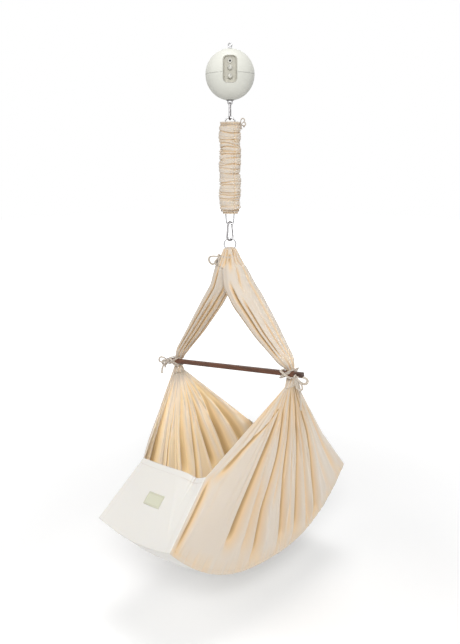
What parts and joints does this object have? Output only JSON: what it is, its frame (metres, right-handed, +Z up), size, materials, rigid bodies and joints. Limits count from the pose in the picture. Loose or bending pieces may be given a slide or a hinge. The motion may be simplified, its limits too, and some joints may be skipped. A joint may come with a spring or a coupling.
{
  "type": "hanging baby cradle",
  "caption": "Sling cradle for a baby: a cotton pocket on a wooden spreader bar, hung by hooks and a covered spring from a ball-shaped rocking motor.",
  "frame": {"origin": "under the top wire of the eye that the cradle hangs from", "axes": "+Z up, +X along the spreader bar, -Y towards the end with the label patch; the motor's panel faces between +X and -Y"},
  "size_m": [0.5846, 0.7932, 1.5714],
  "materials": {
    "ball_plastic": "warm white moulded housing",
    "panel_plastic": "cream recessed panel",
    "white_plastic": "white inlet and knobs",
    "board_green": "coated circuit board",
    "zinc_steel": "bright zinc plating",
    "dark_steel": "greyed steel",
    "motor_steel": "plain drive steel",
    "brass_gear": "cut brass",
    "black_plastic": "black moulded",
    "cotton": "undyed cotton cloth",
    "pale_cotton": "bleached cotton cloth",
    "patch_cotton": "woven patch, bare",
    "walnut": "oiled walnut",
    "kapok": "soft filled mattress"
  },
  "bodies": {
    "motor_housing": {"upper_shell": "ball_plastic", "lower_shell": "ball_plastic", "shell_screw_left": "zinc_steel", "shell_screw_right": "zinc_steel", "eye_bolt": "zinc_steel", "eye_nut": "zinc_steel", "eye_spacer": "zinc_steel", "chassis": "motor_steel", "control_panel": "panel_plastic", "panel_screw_upper": "zinc_steel", "panel_screw_lower": "zinc_steel", "power_jack": "white_plastic", "speed_potentiometer": "black_plastic", "timer_potentiometer": "black_plastic", "circuit_board": "board_green", "gearbox": "motor_steel", "gear_motor": "motor_steel", "upper_guide": "black_plastic", "lower_guide": "black_plastic", "output_bezel": "black_plastic"},
    "drive": {"drive_rack": "zinc_steel", "output_eye": "dark_steel"},
    "drive_pinion": {"drive_pinion": "brass_gear"},
    "speed_knob": {"speed_knob": "white_plastic"},
    "timer_knob": {"timer_knob": "white_plastic"},
    "upper_hook": {"upper_hook_body": "dark_steel", "upper_hook_pin": "zinc_steel"},
    "upper_gate": {"upper_hook_gate": "dark_steel"},
    "spring_upper": {"spring": "zinc_steel", "spring_cover": "cotton", "cover_tie": "cotton"},
    "spring_foot": {"cover_cord": "cotton"},
    "link": {"trapezoid_link": "zinc_steel"},
    "lower_hook": {"lower_hook_body": "dark_steel", "lower_hook_pin": "zinc_steel"},
    "lower_gate": {"lower_hook_gate": "dark_steel"},
    "cradle": {"hang_ring": "zinc_steel", "cloth_gather": "cotton", "neck_tie": "cotton", "left_upper_sling": "cotton", "right_upper_sling": "cotton", "left_bar_tie": "cotton", "right_bar_tie": "cotton", "spreader_bar": "walnut", "left_side_wall": "cotton", "right_side_wall": "cotton", "front_panel": "pale_cotton", "rear_panel": "pale_cotton", "label_patch": "patch_cotton", "pocket_base": "pale_cotton", "mattress": "kapok", "cradle_floor": "cotton"}
  },
  "joints": [
    {"name": "drive_slide", "type": "slide", "parent": "motor_housing", "child": "drive", "axis": [0, 0, -1], "range_m": [0, 0.02]},
    {"name": "pinion_turn", "type": "hinge", "parent": "motor_housing", "child": "drive_pinion", "pos_m": [0.01202, 0.01202, -0.0877], "axis": [-0.7071, 0.7071, 0], "range_deg": [-96, 0]},
    {"name": "speed_knob_turn", "type": "hinge", "parent": "motor_housing", "child": "speed_knob", "pos_m": [0.03535, -0.03535, -0.0692], "axis": [0.7071, -0.7071, 0], "range_deg": [-135, 135]},
    {"name": "timer_knob_turn", "type": "hinge", "parent": "motor_housing", "child": "timer_knob", "pos_m": [0.03535, -0.03535, -0.0922], "axis": [0.7071, -0.7071, 0], "range_deg": [-135, 135]},
    {"name": "upper_hook_swing", "type": "hinge", "parent": "drive", "child": "upper_hook", "pos_m": [0, 0, -0.1629], "axis": [0.7071, 0.7071, 0], "range_deg": [-18, 18]},
    {"name": "upper_gate_swing", "type": "hinge", "parent": "upper_hook", "child": "upper_gate", "pos_m": [-0.00327, 0.00503, -0.16855], "axis": [-0.8387, -0.5446, 0], "range_deg": [0, 25], "stiffness_Nm_per_rad": 0.05, "springref_deg": -28.65},
    {"name": "spring_swing", "type": "hinge", "parent": "upper_hook", "child": "spring_upper", "pos_m": [0, 0, -0.20305], "axis": [-0.5446, 0.8387, 0], "range_deg": [-12, 12]},
    {"name": "spring_stretch", "type": "slide", "parent": "spring_upper", "child": "spring_foot", "axis": [0, 0, -1], "range_m": [0, 0.12], "stiffness_N_per_m": 800, "springref_m": -0.06, "deforming": ["spring", "spring_cover"]},
    {"name": "link_swing", "type": "hinge", "parent": "spring_foot", "child": "link", "pos_m": [0, 0, -0.46755], "axis": [0.7071, 0.7071, 0], "range_deg": [-15, 15]},
    {"name": "lower_hook_swing", "type": "hinge", "parent": "link", "child": "lower_hook", "pos_m": [0, 0, -0.50135], "axis": [0.7071, 0.7071, 0], "range_deg": [-15, 15]},
    {"name": "lower_gate_swing", "type": "hinge", "parent": "lower_hook", "child": "lower_gate", "pos_m": [0, 0.0084, -0.5086], "axis": [-1, 0, 0], "range_deg": [0, 25], "stiffness_Nm_per_rad": 0.06, "springref_deg": -28.65},
    {"name": "cradle_swing", "type": "hinge", "parent": "lower_hook", "child": "cradle", "pos_m": [0, 0, -0.5497], "axis": [0, 1, 0], "range_deg": [-12, 12]}
  ],
  "couplings": [
    {"joint": "pinion_turn", "follows": "drive_slide", "rad_per_m": -83.333}
  ]
}
